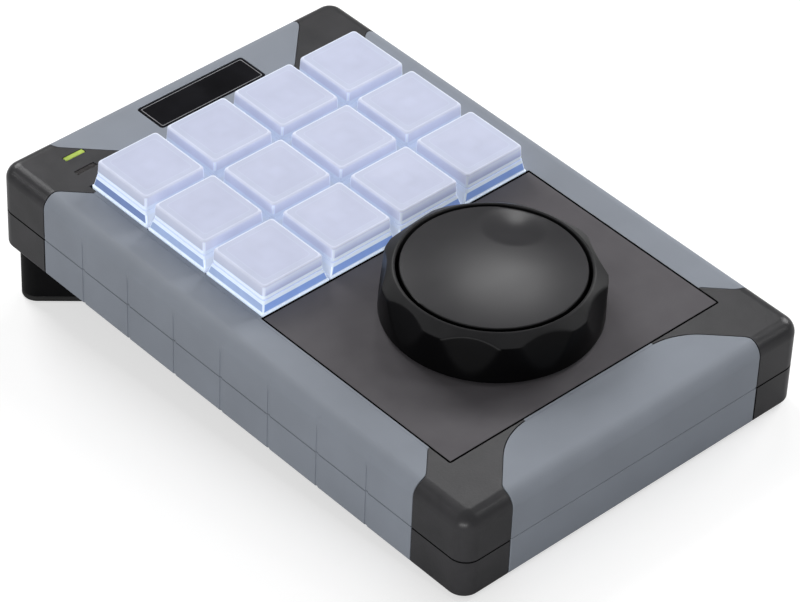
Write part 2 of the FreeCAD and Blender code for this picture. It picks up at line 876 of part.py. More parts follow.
def screws(label, places, shank, head):
    """Screws at several places; shank and head are each a radius with a low and a high end."""
    items = []
    for index, (x, y) in enumerate(places):
        name = "%s_%d" % (label, index)
        rods = []
        for part_name, (radius, low, high) in (("_shank", shank), ("_head", head)):
            rods.append(rod(name + part_name, radius, "%s - (%s)" % (high, low), x, y, low))
        items.append(joined(name, rods))
    return grouped(label, items)


def case_screws():
    """The four screws that come up from below, with their heads just inside the floor."""
    shank = ("thread_radius", "head_sink", "screw_end")
    head = ("head_radius", "head_sink", "head_high")
    return screws("case_screws", SCREWS, shank, head)


def board_screws():
    shank = ("board_screw_radius", "board_screw_end", "board_top")
    head = ("board_head_radius", "board_top", "board_top + board_head_high")
    return screws("board_screws", POSTS, shank, head)


# Keys


def key_base(row, column, x, y):
    """The lit lower part of a key with its plunger."""
    name = "key_base_r%dc%d" % (row, column)
    body = doc.addObject("PartDesign::Body", name + "_body")
    low = "(case_height - key_sink)"
    flange = raised(body, name + "_flange", square("key_wide", "key_wide", x, y), "flange_high", low)
    softened(body, name + "_flange_corners", flange, upright, "key_corner")
    wide = "(key_wide - 2 * flange_step)"
    high = "(base_high - flange_high)"
    lean = "-atan((%s - shelf_wide) / 2 / %s)" % (wide, high)
    raised(body, name + "_side", square(wide, wide, x, y), high, low + " + flange_high", lean)
    tray = square("tray_wide - 2 * fit_gap", "tray_wide - 2 * fit_gap", x, y)
    raised(body, name + "_tray", tray, "tray_high", low + " + base_high", "-cover_draft")
    inside = square("base_hollow", "base_hollow", x, y)
    hollowed(body, name + "_inside", inside, "base_high - shelf_thick", low, "-base_draft")
    upper = low + " + base_high - shelf_thick"
    hollowed(body, name + "_roof", square("roof_hollow", "roof_hollow", x, y), "shelf_thick", upper)
    down = "%s + base_high - plunger_end" % low
    plunger = square("plunger_wide", "plunger_deep", x, y)
    raised(body, name + "_plunger", plunger, down, "plunger_end")
    return placed(body, name)


def key_cover(row, column, x, y):
    """The clear cap that snaps over a key's tray."""
    name = "key_cover_r%dc%d" % (row, column)
    body = doc.addObject("PartDesign::Body", name + "_body")
    low = "(case_height - key_sink + base_high)"
    lean = "-atan((shelf_wide - cover_top) / 2 / cover_high)"
    tip = raised(body, name + "_side", square("shelf_wide", "shelf_wide", x, y), "cover_high", low, lean)

    def steep(edge):
        return edge.BoundBox.ZLength > value("cover_high / 2")

    tip = softened(body, name + "_corners", tip, steep, "cover_corner")
    softened(body, name + "_top", tip, level(low + " + cover_high"), "cover_round")
    inside = square("tray_wide", "tray_wide", x, y)
    hollowed(body, name + "_inside", inside, "cover_high - cover_thick", low, "-cover_draft")
    return placed(body, name)


# Knob


def turned(name, points, y="knob_y"):
    """A round piece about the knob's axis from radius and height pairs."""
    body = doc.addObject("PartDesign::Body", name)
    sketch = body.newObject("Sketcher::SketchObject", name + "_profile")
    sketch.AttachmentSupport = [(origin_plane(body, "XZ_Plane"), "")]
    sketch.MapMode = "FlatFace"
    sketch.setExpression("AttachmentOffset.Base.z", sized("-(%s)" % y))
    spots = [FreeCAD.Vector(value(out), value(up), 0) for out, up in points]
    for index, spot in enumerate(spots):
        sketch.addGeometry(Part.LineSegment(spot, spots[(index + 1) % len(spots)]), False)
    for index, (out, up) in enumerate(points):
        follower = (index + 1) % len(points)
        sketch.addConstraint(Sketcher.Constraint("Coincident", index, 2, follower, 1))
        for kind, text in (("DistanceX", out), ("DistanceY", up)):
            number = sketch.addConstraint(Sketcher.Constraint(kind, -1, 1, index, 1, value(text)))
            sketch.setExpression("Constraints[%d]" % number, sized(text))
    spin = body.newObject("PartDesign::Revolution", name + "_turn")
    spin.Profile = sketch
    spin.ReferenceAxis = (sketch, ["V_Axis"])
    spin.Angle = 360
    body.Tip = spin
    doc.recompute()
    return body


def scallop_tools():
    """Leaning rods round the ring that press finger places into its upper side."""
    tools = []
    for number in range(int(value("scallop_count"))):
        tool = doc.addObject("Part::Cylinder", "scallop_%d" % number)
        bind(tool, Radius="scallop_radius", Height="4 * disc_high")
        turn = "(scallop_start + %d * 360 / scallop_count)" % number
        reach = "(scallop_reach + scallop_radius)"
        top = FreeCAD.Vector(0, 0, value("case_height + ring_top"))
        lean = FreeCAD.Rotation(FreeCAD.Vector(0, 1, 0), -value("scallop_lean"))
        spin = FreeCAD.Rotation(Z_AXIS, value(turn))
        middle = spin.multVec(FreeCAD.Vector(value(reach), 0, 0)) + top
        middle.y += value("knob_y")
        tilted = spin.multiply(lean)
        start = middle - tilted.multVec(FreeCAD.Vector(0, 0, value("2 * disc_high")))
        tool.Placement = FreeCAD.Placement(start, tilted)
        tools.append(tool)
    return tools


def shuttle_ring():
    plate = "case_height"
    low = plate + " + ring_lift"
    web = plate + " + web_low"
    points = [
        ("shaft_radius + fit_gap", "sleeve_end"),
        ("sleeve_radius", "sleeve_end"),
        ("sleeve_radius", web),
        ("ring_bore", web),
        ("ring_bore", low),
        ("ring_radius", low),
        ("ring_radius", plate + " + ring_shoulder"),
        ("ring_top_round", plate + " + ring_top"),
        ("ring_bore", plate + " + ring_top"),
        ("ring_bore", web + " + web_thick"),
        ("shaft_radius + fit_gap", web + " + web_thick"),
    ]
    ring = turned("ring_body", points)
    lug_high = "web_low + web_thick / 2 - ring_lift"
    lug = block("ring_lug", "lug_wide", "lug_long", lug_high, "0", "knob_y + stop_out", low)
    return placed(cut("ring_cut", joined("ring_joined", [ring, lug]), scallop_tools()), "shuttle_ring")


def jog_disc():
    top = "case_height + disc_high"
    low = top + " - disc_thick"
    hub_low = "case_height + web_low + web_thick + hub_gap"
    points = [
        ("shaft_radius", hub_low),
        ("hub_radius", hub_low),
        ("hub_radius", low),
        ("disc_radius", low),
        ("disc_radius", top + " - disc_round"),
        ("disc_radius - disc_round", top),
        ("0", top),
        ("0", low),
        ("shaft_radius", low),
    ]
    disc = turned("disc_body", points)
    ball = doc.addObject("Part::Sphere", "dimple_ball")
    radius = "((dimple_radius * dimple_radius + dimple_deep * dimple_deep) / 2 / dimple_deep)"
    bind(ball, Radius=radius)
    x = "dimple_out * cos(dimple_angle)"
    y = "knob_y + dimple_out * sin(dimple_angle)"
    put(ball, x, y, "%s + %s - dimple_deep" % (top, radius))
    return placed(cut("disc_cut", disc, [ball]), "jog_disc")


def jog_shaft():
    high = "case_height + disc_high - disc_thick - shaft_end"
    return grouped("jog_shaft", [rod("shaft_rod", "shaft_radius", high, "0", "knob_y", "shaft_end")])


def encoder():
    low = "board_top"
    high = "encoder_top - board_top"
    base = block("encoder_block", "encoder_wide", "encoder_wide", high, "0", "knob_y", low)
    high = "case_height + bush_high - encoder_top"
    bush = rod("encoder_bush", "bush_radius", high, "0", "knob_y", "encoder_top")
    bore_low = "sleeve_end - sleeve_gap"
    bore = rod("encoder_bore", "sleeve_radius + fit_gap", "case_height", "0", "knob_y", bore_low)
    return placed(cut("encoder_cut", joined("encoder_joined", [base, bush]), [bore]), "encoder_body")


top_case()
bottom_case()
for grip_side in (*SIDES, *END_EDGES):
    grip(grip_side, "top")
    grip(grip_side, "bottom")
knob_panel()
badge()
window_lens("green_window", "green_x", "green_y")
window_lens("red_window", "red_x", "red_y")
rear_foot(-1, "left")
rear_foot(1, "right")
front_pad(-1, "left")
front_pad(1, "right")
circuit_board()
mount_plate()
switches()
backlights()
socket()
case_screws()
board_screws()
encoder()
shuttle_ring()
jog_disc()
jog_shaft()
for spot in key_places():
    key_base(*spot)
    key_cover(*spot)

doc.recompute()
for item in doc.Objects:
    if "Invalid" in item.State or "Error" in item.State:
        raise RuntimeError("%s didn't build: %s" % (item.Name, item.State))
for item in finished:
    if item.Shape.isNull() or not item.Shape.isValid():
        raise RuntimeError("%s has no sound shape" % item.Label)
    item.Shape.exportStep("parts/%s.step" % item.Label)
print(len(finished), "sub-parts")
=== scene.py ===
import json
import math

import bmesh
import bpy
from mathutils import Matrix, Vector


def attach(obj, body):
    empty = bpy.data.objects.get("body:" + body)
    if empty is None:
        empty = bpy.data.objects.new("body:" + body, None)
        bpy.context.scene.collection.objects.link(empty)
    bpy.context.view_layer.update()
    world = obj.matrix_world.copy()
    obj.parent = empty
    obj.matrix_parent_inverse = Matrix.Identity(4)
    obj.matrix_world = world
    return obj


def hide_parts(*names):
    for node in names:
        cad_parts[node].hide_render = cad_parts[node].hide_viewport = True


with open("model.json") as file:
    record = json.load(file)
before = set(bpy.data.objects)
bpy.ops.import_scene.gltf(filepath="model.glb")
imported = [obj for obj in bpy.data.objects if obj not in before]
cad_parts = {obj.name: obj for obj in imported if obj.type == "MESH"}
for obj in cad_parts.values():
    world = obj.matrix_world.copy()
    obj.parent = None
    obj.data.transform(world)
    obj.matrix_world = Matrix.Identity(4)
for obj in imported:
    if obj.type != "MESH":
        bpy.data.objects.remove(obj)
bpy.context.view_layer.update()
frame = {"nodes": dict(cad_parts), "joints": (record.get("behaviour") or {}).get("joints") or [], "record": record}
NODES = frame["nodes"]
JOINTS = {joint["name"]: joint for joint in frame["joints"]}
SLOTS = {row["node"]: row["material_slot"] for row in frame["record"]["subparts"]}
BODY_OF = {}
for body, members in frame["record"]["behaviour"]["bodies"].items():
    for member in members:
        BODY_OF[member] = body

# The keypad leans back. Its own space has its origin on the knob's axis at the panel,
# with x to the right, y to the back and z up out of the panel. All lengths are in metres.

KNOB_AXIS = Vector(JOINTS["jog_turn"]["axis"])
KNOB_FOOT = Vector(JOINTS["jog_turn"]["pos_m"])
RIGHT = Vector((1, 0, 0))
BACK = KNOB_AXIS.cross(RIGHT)
LEAN = Matrix((RIGHT, BACK, KNOB_AXIS)).transposed().to_4x4()
PLACE = Matrix.Translation(KNOB_FOOT) @ LEAN
UNPLACE = PLACE.inverted()

ROWS = (1, 2, 3)
COLUMNS = (1, 2, 3, 4)
SIDES = ("right", "rear", "left", "front")
HALVES = ("top", "bottom")


def own_points(node):
    """The points of a CAD node in the keypad's own space."""
    return [UNPLACE @ vertex.co for vertex in NODES[node].data.vertices]


def own_box(node):
    """The lowest and highest corner of a CAD node in the keypad's own space."""
    points = own_points(node)
    low = Vector([min(point[i] for point in points) for i in range(3)])
    high = Vector([max(point[i] for point in points) for i in range(3)])
    return low, high


# Materials

TINT = "tint"
PLAIN_TONE = (1, 1, 1)
NOISE_LOW = 0.3
NOISE_HIGH = 0.7
PATCH_DETAIL = 2.0
GRAIN_DETAIL = 3.0
GLOSS_DRIFT = 0.015
PLAIN_SHEEN = 0.5


def shader_of(material):
    return material.node_tree.nodes["Principled BSDF"]


def new_material(name, colour, roughness, sheen=PLAIN_SHEEN, metal=0.0):
    material = bpy.data.materials.new(name)
    material.use_nodes = True
    shader = shader_of(material)
    shader.inputs["Base Color"].default_value = (*colour, 1)
    shader.inputs["Roughness"].default_value = roughness
    shader.inputs["Specular IOR Level"].default_value = sheen
    shader.inputs["Metallic"].default_value = metal
    return material


def noise(material, patch, detail=PATCH_DETAIL):
    """A noise over the piece whose patches are about so large."""
    nodes = material.node_tree.nodes
    links = material.node_tree.links
    place = nodes.new("ShaderNodeTexCoord")
    made = nodes.new("ShaderNodeTexNoise")
    made.inputs["Scale"].default_value = 1 / patch
    made.inputs["Detail"].default_value = detail
    links.new(place.outputs["Object"], made.inputs["Vector"])
    return made.outputs["Fac"]


def spread(material, low, high, patch):
    """A noise stretched between two levels."""
    reach = material.node_tree.nodes.new("ShaderNodeMapRange")
    reach.inputs["From Min"].default_value = NOISE_LOW
    reach.inputs["From Max"].default_value = NOISE_HIGH
    reach.inputs["To Min"].default_value = low
    reach.inputs["To Max"].default_value = high
    material.node_tree.links.new(noise(material, patch), reach.inputs["Value"])
    return reach.outputs["Result"]


def mottle(material, dark, light, patch):
    """Lets the colour drift between two near tones."""
    links = material.node_tree.links
    ramp = material.node_tree.nodes.new("ShaderNodeValToRGB")
    ramp.color_ramp.elements[0].position = NOISE_LOW
    ramp.color_ramp.elements[0].color = (*dark, 1)
    ramp.color_ramp.elements[1].position = NOISE_HIGH
    ramp.color_ramp.elements[1].color = (*light, 1)
    links.new(noise(material, patch), ramp.inputs["Fac"])
    links.new(ramp.outputs["Color"], shader_of(material).inputs["Base Color"])


def add_grain(material, grain):
    """A fine moulded grain, from its size and its depth."""
    size, depth = grain
    links = material.node_tree.links
    bump = material.node_tree.nodes.new("ShaderNodeBump")
    bump.inputs["Distance"].default_value = depth
    links.new(noise(material, size, GRAIN_DETAIL), bump.inputs["Height"])
    links.new(bump.outputs["Normal"], shader_of(material).inputs["Normal"])


def roughen(material, roughness, patch):
    """Lets the roughness drift about its level."""
    drift = spread(material, roughness - GLOSS_DRIFT, roughness + GLOSS_DRIFT, patch)
    material.node_tree.links.new(drift, shader_of(material).inputs["Roughness"])


def plain_finish(name, dark, light, roughness, patch, grain, sheen=PLAIN_SHEEN, metal=0.0):
    """A moulded or painted surface: two near tones, drifting gloss and a fine grain."""
    material = new_material(name, light, roughness, sheen, metal)
    mottle(material, dark, light, patch)
    roughen(material, roughness, patch / 2)
    add_grain(material, grain)
    return material


def tinted_finish(name, roughness, patch, drift, glow=0.0, sheen=PLAIN_SHEEN):
    """A surface whose colour, painted light and shade included, is written on its points, clouded a little, and
    lit from inside.
    """
    material = new_material(name, PLAIN_TONE, roughness, sheen)
    nodes = material.node_tree.nodes
    links = material.node_tree.links
    tint = nodes.new("ShaderNodeAttribute")
    tint.attribute_name = TINT
    cloud = nodes.new("ShaderNodeVectorMath")
    cloud.operation = "SCALE"
    links.new(tint.outputs["Color"], cloud.inputs[0])
    links.new(spread(material, 1 - drift, 1 + drift, patch), cloud.inputs["Scale"])
    shader = shader_of(material)
    links.new(cloud.outputs["Vector"], shader.inputs["Base Color"])
    if glow:
        links.new(cloud.outputs["Vector"], shader.inputs["Emission Color"])
        shader.inputs["Emission Strength"].default_value = glow
    roughen(material, roughness, patch)
    return material


# How large the patches of a finish are

TINY_PATCH = 0.002
WINDOW_PATCH = 0.0025
SMALL_PATCH = 0.003
PLAIN_PATCH = 0.004
MIDDLE_PATCH = 0.006
LARGE_PATCH = 0.008
DISC_PATCH = 0.01
WIDE_PATCH = 0.012

# The size and the depth of a grain

COARSE_GRAIN = (0.0005, 0.00002)
FINE_GRAIN = (0.0003, 0.00001)
SMOOTH_GRAIN = (0.0003, 0.000004)
FOOT_GRAIN = (0.0004, 0.00001)
SOLE_GRAIN = (0.0004, 0.00002)
BOARD_GRAIN = (0.0006, 0.00002)

# Case, grips and panel

CASE_BLACK = plain_finish(
    "case_black",
    dark=(0.034, 0.034, 0.036),
    light=(0.044, 0.043, 0.046),
    roughness=0.3,
    patch=MIDDLE_PATCH,
    grain=COARSE_GRAIN,
    sheen=0.2,
)
GRIP_GREY = plain_finish(
    "grip_grey",
    dark=(0.228, 0.250, 0.288),
    light=(0.248, 0.272, 0.314),
    roughness=0.62,
    patch=WIDE_PATCH,
    grain=FINE_GRAIN,
    sheen=0.3,
)
PANEL_BLACK = plain_finish(
    "panel_black",
    dark=(0.108, 0.102, 0.110),
    light=(0.122, 0.116, 0.124),
    roughness=0.5,
    patch=LARGE_PATCH,
    grain=FINE_GRAIN,
    sheen=0.05,
)
# A grey darker than the grips, for the fillers in their seam: painted shade
SEAM_SHADE_GREY = plain_finish(
    "seam_shade_grey",
    dark=(0.15, 0.165, 0.19),
    light=(0.17, 0.19, 0.22),
    roughness=0.7,
    patch=WIDE_PATCH,
    grain=FINE_GRAIN,
)
# A near-black for painted shade: the strip in the seam round the panel and the case's broken edges; it also stands
# in on the knob's solids
SHADE_BLACK = plain_finish(
    "shade_black",
    dark=(0.002, 0.002, 0.002),
    light=(0.004, 0.004, 0.004),
    roughness=0.7,
    patch=PLAIN_PATCH,
    grain=FINE_GRAIN,
    sheen=0.0,
)

# Badge

BADGE_DARK = plain_finish(
    "badge_dark",
    dark=(0.009, 0.009, 0.010),
    light=(0.014, 0.014, 0.016),
    roughness=0.45,
    patch=LARGE_PATCH,
    grain=SMOOTH_GRAIN,
    sheen=0.0,
)
BADGE_LINE = plain_finish(
    "badge_line",
    dark=(0.18, 0.18, 0.19),
    light=(0.26, 0.26, 0.27),
    roughness=0.35,
    patch=SMALL_PATCH,
    grain=SMOOTH_GRAIN,
)

# Feet

# The case's black made darker for the feet: painted shade, as they stand under the case
FOOT_SHADE_BLACK = plain_finish(
    "foot_shade_black",
    dark=(0.003, 0.003, 0.0035),
    light=(0.005, 0.005, 0.0055),
    roughness=0.5,
    patch=MIDDLE_PATCH,
    grain=FOOT_GRAIN,
    sheen=0.08,
)
SOLE_BLACK = plain_finish(
    "sole_black",
    dark=(0.01, 0.01, 0.01),
    light=(0.016, 0.016, 0.016),
    roughness=0.8,
    patch=PLAIN_PATCH,
    grain=SOLE_GRAIN,
)

# Inside pieces

STEEL = plain_finish(
    "steel",
    dark=(0.45, 0.45, 0.46),
    light=(0.6, 0.6, 0.61),
    roughness=0.3,
    patch=SMALL_PATCH,
    grain=SMOOTH_GRAIN,
    metal=1.0,
)
BOARD_GREEN = plain_finish(
    "board_green",
    dark=(0.01, 0.06, 0.025),
    light=(0.015, 0.085, 0.035),
    roughness=0.45,
    patch=PLAIN_PATCH,
    grain=BOARD_GRAIN,
)
SWITCH_BLACK = plain_finish(
    "switch_black",
    dark=(0.01, 0.01, 0.011),
    light=(0.016, 0.016, 0.018),
    roughness=0.45,
    patch=PLAIN_PATCH,
    grain=FINE_GRAIN,
)
LAMP_WHITE = plain_finish(
    "lamp_white",
    dark=(0.7, 0.75, 0.9),
    light=(0.8, 0.85, 0.95),
    roughness=0.3,
    patch=TINY_PATCH,
    grain=SMOOTH_GRAIN,
)

# Windows

GREEN_LIGHT = plain_finish(
    "green_light",
    dark=(0.33, 0.46, 0.05),
    light=(0.46, 0.60, 0.09),
    roughness=0.3,
    patch=WINDOW_PATCH,
    grain=SMOOTH_GRAIN,
)
DARK_LIGHT = plain_finish(
    "dark_light",
    dark=(0.016, 0.014, 0.014),
    light=(0.03, 0.026, 0.026),
    roughness=0.2,
    patch=TINY_PATCH,
    grain=SMOOTH_GRAIN,
)

# Keys and knob

KEY_CLEAR = tinted_finish("key_clear", roughness=0.22, patch=MIDDLE_PATCH, drift=0.03, glow=0.35, sheen=0.1)
KEY_LIT = tinted_finish("key_lit", roughness=0.25, patch=PLAIN_PATCH, drift=0.05, glow=0.35)
KNOB_BLACK = tinted_finish("knob_black", roughness=0.36, patch=MIDDLE_PATCH, drift=0.1, sheen=0.09)
DISC_BLACK = tinted_finish("disc_black", roughness=0.25, patch=DISC_PATCH, drift=0.05, sheen=0.26)

# The finish of each slot's solids. The keys, the ring and the disc are replaced below by
# pieces with finishes of their own, so the ones given to their solids are stand-ins.

FINISHES = {
    "case_black": CASE_BLACK,
    "grip_grey": GRIP_GREY,
    "panel_black": PANEL_BLACK,
    "badge_dark": BADGE_DARK,
    "knob_black": SHADE_BLACK,
    "disc_black": CASE_BLACK,
    "sole_black": SOLE_BLACK,
    "steel": STEEL,
    "board_green": BOARD_GREEN,
    "switch_black": SWITCH_BLACK,
    "lamp_white": LAMP_WHITE,
    "key_lit": LAMP_WHITE,
    "key_clear": LAMP_WHITE,
    "green_light": GREEN_LIGHT,
    "dark_light": DARK_LIGHT,
}

for name, node in NODES.items():
    finish = FINISHES[SLOTS[name]]
    if not node.material_slots:
        node.data.materials.append(finish)
    for slot in node.material_slots:
        slot.material = finish

# Pieces

SHARP_ANGLE = math.radians(40)
SAME_PLACE = 0.000001
SAME_PLANE = math.radians(0.5)
BEVEL_STEPS = 2


def add_piece(name, mesh, finishes, node, replace=True):
    """Puts a mesh in the scene for a CAD node, on the node's body."""
    piece = bpy.data.objects.new(name, mesh)
    bpy.context.scene.collection.objects.link(piece)
    for finish in finishes:
        mesh.materials.append(finish)
    for polygon in mesh.polygons:
        polygon.use_smooth = True
    mesh.set_sharp_from_angle(angle=SHARP_ANGLE)
    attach(piece, BODY_OF[node])
    if replace:
        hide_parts(node)
    return piece


def softened_copy(node, width, finish=None, edge_finish=None):
    """A copy of the node's shape with its sharp edges broken.

    The copy and its edges may have finishes of their own.
    """
    shape = bmesh.new()
    shape.from_mesh(NODES[node].data)
    bmesh.ops.remove_doubles(shape, verts=shape.verts, dist=SAME_PLACE)
    bmesh.ops.dissolve_limit(shape, angle_limit=SAME_PLANE, verts=shape.verts, edges=shape.edges)
    mesh = bpy.data.meshes.new(node + "_soft")
    shape.to_mesh(mesh)
    shape.free()
    finishes = [finish or FINISHES[SLOTS[node]]]
    if edge_finish:
        finishes.append(edge_finish)
    piece = add_piece(node + "_soft", mesh, finishes, node)
    bevel = piece.modifiers.new("edges", "BEVEL")
    bevel.width = width
    bevel.segments = BEVEL_STEPS
    bevel.limit_method = "ANGLE"
    bevel.angle_limit = SHARP_ANGLE
    bevel.material = len(finishes) - 1
    piece.modifiers.new("normals", "WEIGHTED_NORMAL").keep_sharp = True


# Case, grips, feet and windows

CASE_EDGE = 0.00015
GRIP_EDGE = 0.00015
FOOT_EDGE = 0.00015
SOLE_EDGE = 0.0006
WINDOW_EDGE = 0.0003

# The case's broken edges are near-black: painted shade along its edges and joints
for half in HALVES:
    softened_copy(half + "_case", CASE_EDGE, edge_finish=SHADE_BLACK)
    for side in SIDES:
        softened_copy("grip_%s_%s" % (side, half), GRIP_EDGE)
for side in ("left", "right"):
    softened_copy("rear_foot_" + side, FOOT_EDGE, FOOT_SHADE_BLACK)
    softened_copy("rear_sole_" + side, SOLE_EDGE)
softened_copy("green_window", WINDOW_EDGE)
softened_copy("red_window", WINDOW_EDGE)

# Oblongs and skins

CORNER_STEPS = 6
POST_STEPS = 1
END_FACES = 2
QUARTERS = ((1, 1), (0, 1), (0, 0), (1, 0))


def inset_box(low, high, inset):
    """A box drawn in on its four sides."""
    step = Vector((inset, inset, 0))
    return low + step, high - step


def corner_angle(quarter, step):
    return (quarter + step / CORNER_STEPS) * math.pi / 2


def oblong(low, high, corner, z):
    """The points of an oblong with round corners, at one height of the keypad's own space."""
    points = []
    for quarter, (right, back) in enumerate(QUARTERS):
        x = high.x - corner if right else low.x + corner
        y = high.y - corner if back else low.y + corner
        for step in range(CORNER_STEPS + 1):
            angle = corner_angle(quarter, step)
            turn = Vector((math.cos(angle), math.sin(angle), 0))
            points.append(Vector((x, y, z)) + turn * corner)
    return points


def side_shares(angle):
    """How far a face turned to this angle looks right, back, left and front."""
    x = math.cos(angle)
    y = math.sin(angle)
    return [max(x, 0) ** 2, max(y, 0) ** 2, max(-x, 0) ** 2, max(-y, 0) ** 2]


def blended(tones, angle):
    """One tone out of four, by the side that a face looks to."""
    mixed = Vector((0, 0, 0))
    for tone, share in zip(tones, side_shares(angle)):
        mixed += Vector(tone) * share
    return mixed


def around(tones, corner_tones=None):
    """The tones of an oblong's points, from one tone for each side and for each corner."""
    given = []
    for quarter in range(len(QUARTERS)):
        for step in range(CORNER_STEPS + 1):
            if corner_tones and abs(step - CORNER_STEPS / 2) <= POST_STEPS:
                given.append(corner_tones[quarter])
            else:
                given.append(blended(tones, corner_angle(quarter, step)))
    return given


def skinned(name, rings, tints, looped=False):
    """Skins rings of points, one tone to a point, and closes their ends or joins them in a loop."""
    shape = bmesh.new()
    layer = shape.verts.layers.float_color.new(TINT)
    loops = []
    for ring, tones in zip(rings, tints):
        loop = []
        for point, tone in zip(ring, tones):
            vertex = shape.verts.new(PLACE @ point)
            vertex[layer] = (*tone, 1)
            loop.append(vertex)
        loops.append(loop)
    pairs = list(zip(loops, loops[1:]))
    if looped:
        pairs.append((loops[-1], loops[0]))
    else:
        shape.faces.new(list(reversed(loops[0])))
        shape.faces.new(loops[-1])
    count = len(rings[0])
    for lower, upper in pairs:
        for number in range(count):
            after = (number + 1) % count
            shape.faces.new((lower[number], lower[after], upper[after], upper[number]))
    mesh = bpy.data.meshes.new(name)
    shape.to_mesh(mesh)
    shape.free()
    return mesh


def plain_tints(rings):
    return [[PLAIN_TONE] * len(rings[0])] * len(rings)


def layered(name, low, high, rows, finishes, node, replace=True):
    """An oblong piece from rows of inset, height, corner and the number of the finish above each.

    Its two ends come first among its faces.
    """
    rings = [oblong(*inset_box(low, high, inset), corner, z) for inset, z, corner, kind in rows]
    kinds = [kind for inset, z, corner, kind in rows]
    mesh = skinned(name + "_shape", rings, plain_tints(rings))
    for polygon in mesh.polygons:
        if polygon.index < END_FACES:
            polygon.material_index = kinds[-1]
        else:
            polygon.material_index = kinds[(polygon.index - END_FACES) // len(rings[0])]
    add_piece(name, mesh, finishes, node, replace)


# Keys: lengths

FLANGE_CORNER = 0.0005
FLANGE_LOW = 0.0004
FLANGE_HIGH = 0.0004
FLANGE_ROUND = 0.00012
FLANGE_LEDGE = 0.0002
FLANGE_BRIGHT = 0.0003
FLANGE_GAP = 0.00012
RIM_CORNER = 0.0007
RIM_HIGH = 0.0009
RIM_OUT = 0.00005
BLEND = 0.00012
LIP_HIGH = 0.0009
LIP_SEAM = 0.00025
WALL_LEAN = 0.0001
TOP_ROUND = 0.0005
TOP_CORNER = 0.0008
MARGIN = 0.0011
LINE = 0.00025
DISH_DEEP = 0.00015
ROUND_STEPS = 4
DISH_SHARES = ((0.85, 1.0), (0.6, 1.01), (0.35, 0.99), (0.12, 1.02))

# Keys: tones, painted light and shade over the keys' real glow

# Painted highlight lines along the flange, the rim and the lip, partly the real glow of their lit edges, dimmer
# where a neighbour stands
BRIGHT = (0.72, 0.82, 0.97)
GLEAM = (0.52, 0.58, 0.70)
SEAM = (0.60, 0.68, 0.90)
# The blue band's real glow, made lighter or darker by side and paler in the gaps between keys, as painted light
# and shade
BAND_FRONT = (0.24, 0.37, 0.76)
BAND_LEFT = (0.33, 0.43, 0.66)
BAND_REAR = (0.17, 0.24, 0.46)
BAND_INNER = (0.52, 0.57, 0.66)
# Painted shade where the corners of neighbouring keys meet
CROSS_SHADE = (0.22, 0.30, 0.52)
# Painted light and shade on the caps' walls: darker low down than high up, lighter or darker by side, and other
# tones where a neighbour stands
WALL_FRONT = (0.40, 0.45, 0.66)
WALL_SIDE = (0.43, 0.47, 0.60)
WALL_INNER = (0.47, 0.50, 0.63)
HIGH_FRONT = (0.64, 0.70, 0.90)
HIGH_SIDE = (0.49, 0.52, 0.64)
HIGH_INNER = (0.50, 0.53, 0.66)
# Painted highlights on the bend from a cap's wall to its top, on its far and its near sides
FAR_EDGE_HIGHLIGHT = (0.58, 0.62, 0.72)
NEAR_EDGE_HIGHLIGHT = (0.52, 0.55, 0.67)
MARGIN_TONE = (0.43, 0.46, 0.575)
LINE_TONE = (0.46, 0.49, 0.61)
TOP_TONE = (0.425, 0.45, 0.57)
# Painted highlights up the caps' corners
POST_HIGHLIGHT = (0.62, 0.68, 0.82)


def outer_sides(row, column):
    """Which sides of a key have no neighbour: right, rear, left and front."""
    return [column == COLUMNS[-1], row == ROWS[-1], column == COLUMNS[0], row == ROWS[0]]


def side_tones(outer, right, rear, left, front, inner):
    """The tone of each side, with the inner tone where a neighbour stands."""
    return [tone if free else inner for tone, free in zip((right, rear, left, front), outer)]


def bright_tones(outer):
    return side_tones(outer, BRIGHT, BRIGHT, BRIGHT, BRIGHT, GLEAM)


def seam_tones(outer):
    return side_tones(outer, SEAM, SEAM, SEAM, SEAM, GLEAM)


def band_tones(outer):
    """The blue band's tones for each side and for each corner, with painted light and shade by side, painted
    highlights at the free corners and painted shade where keys meet.
    """
    left_band = BAND_REAR if outer[1] else BAND_LEFT
    sides = side_tones(outer, BAND_LEFT, BAND_LEFT, left_band, BAND_FRONT, BAND_INNER)
    posts = []
    for number in range(len(outer)):
        free = outer[number] or outer[(number + 1) % len(outer)]
        posts.append(BRIGHT if free else CROSS_SHADE)
    return sides, posts


def flange_box(node, outer):
    """The flange's box: the solid's own where a side is free, and nearly to the next key elsewhere."""
    low, high = own_box(node)
    pitch_half = (own_box("key_base_r1c2")[0].x - own_box("key_base_r1c1")[0].x) / 2
    middle = (low + high) / 2
    reach = pitch_half - FLANGE_GAP
    right = high.x if outer[0] else middle.x + reach
    rear = high.y if outer[1] else middle.y + reach
    left = low.x if outer[2] else middle.x - reach
    front = low.y if outer[3] else middle.y - reach
    return Vector((left, front, 0)), Vector((right, rear, 0))


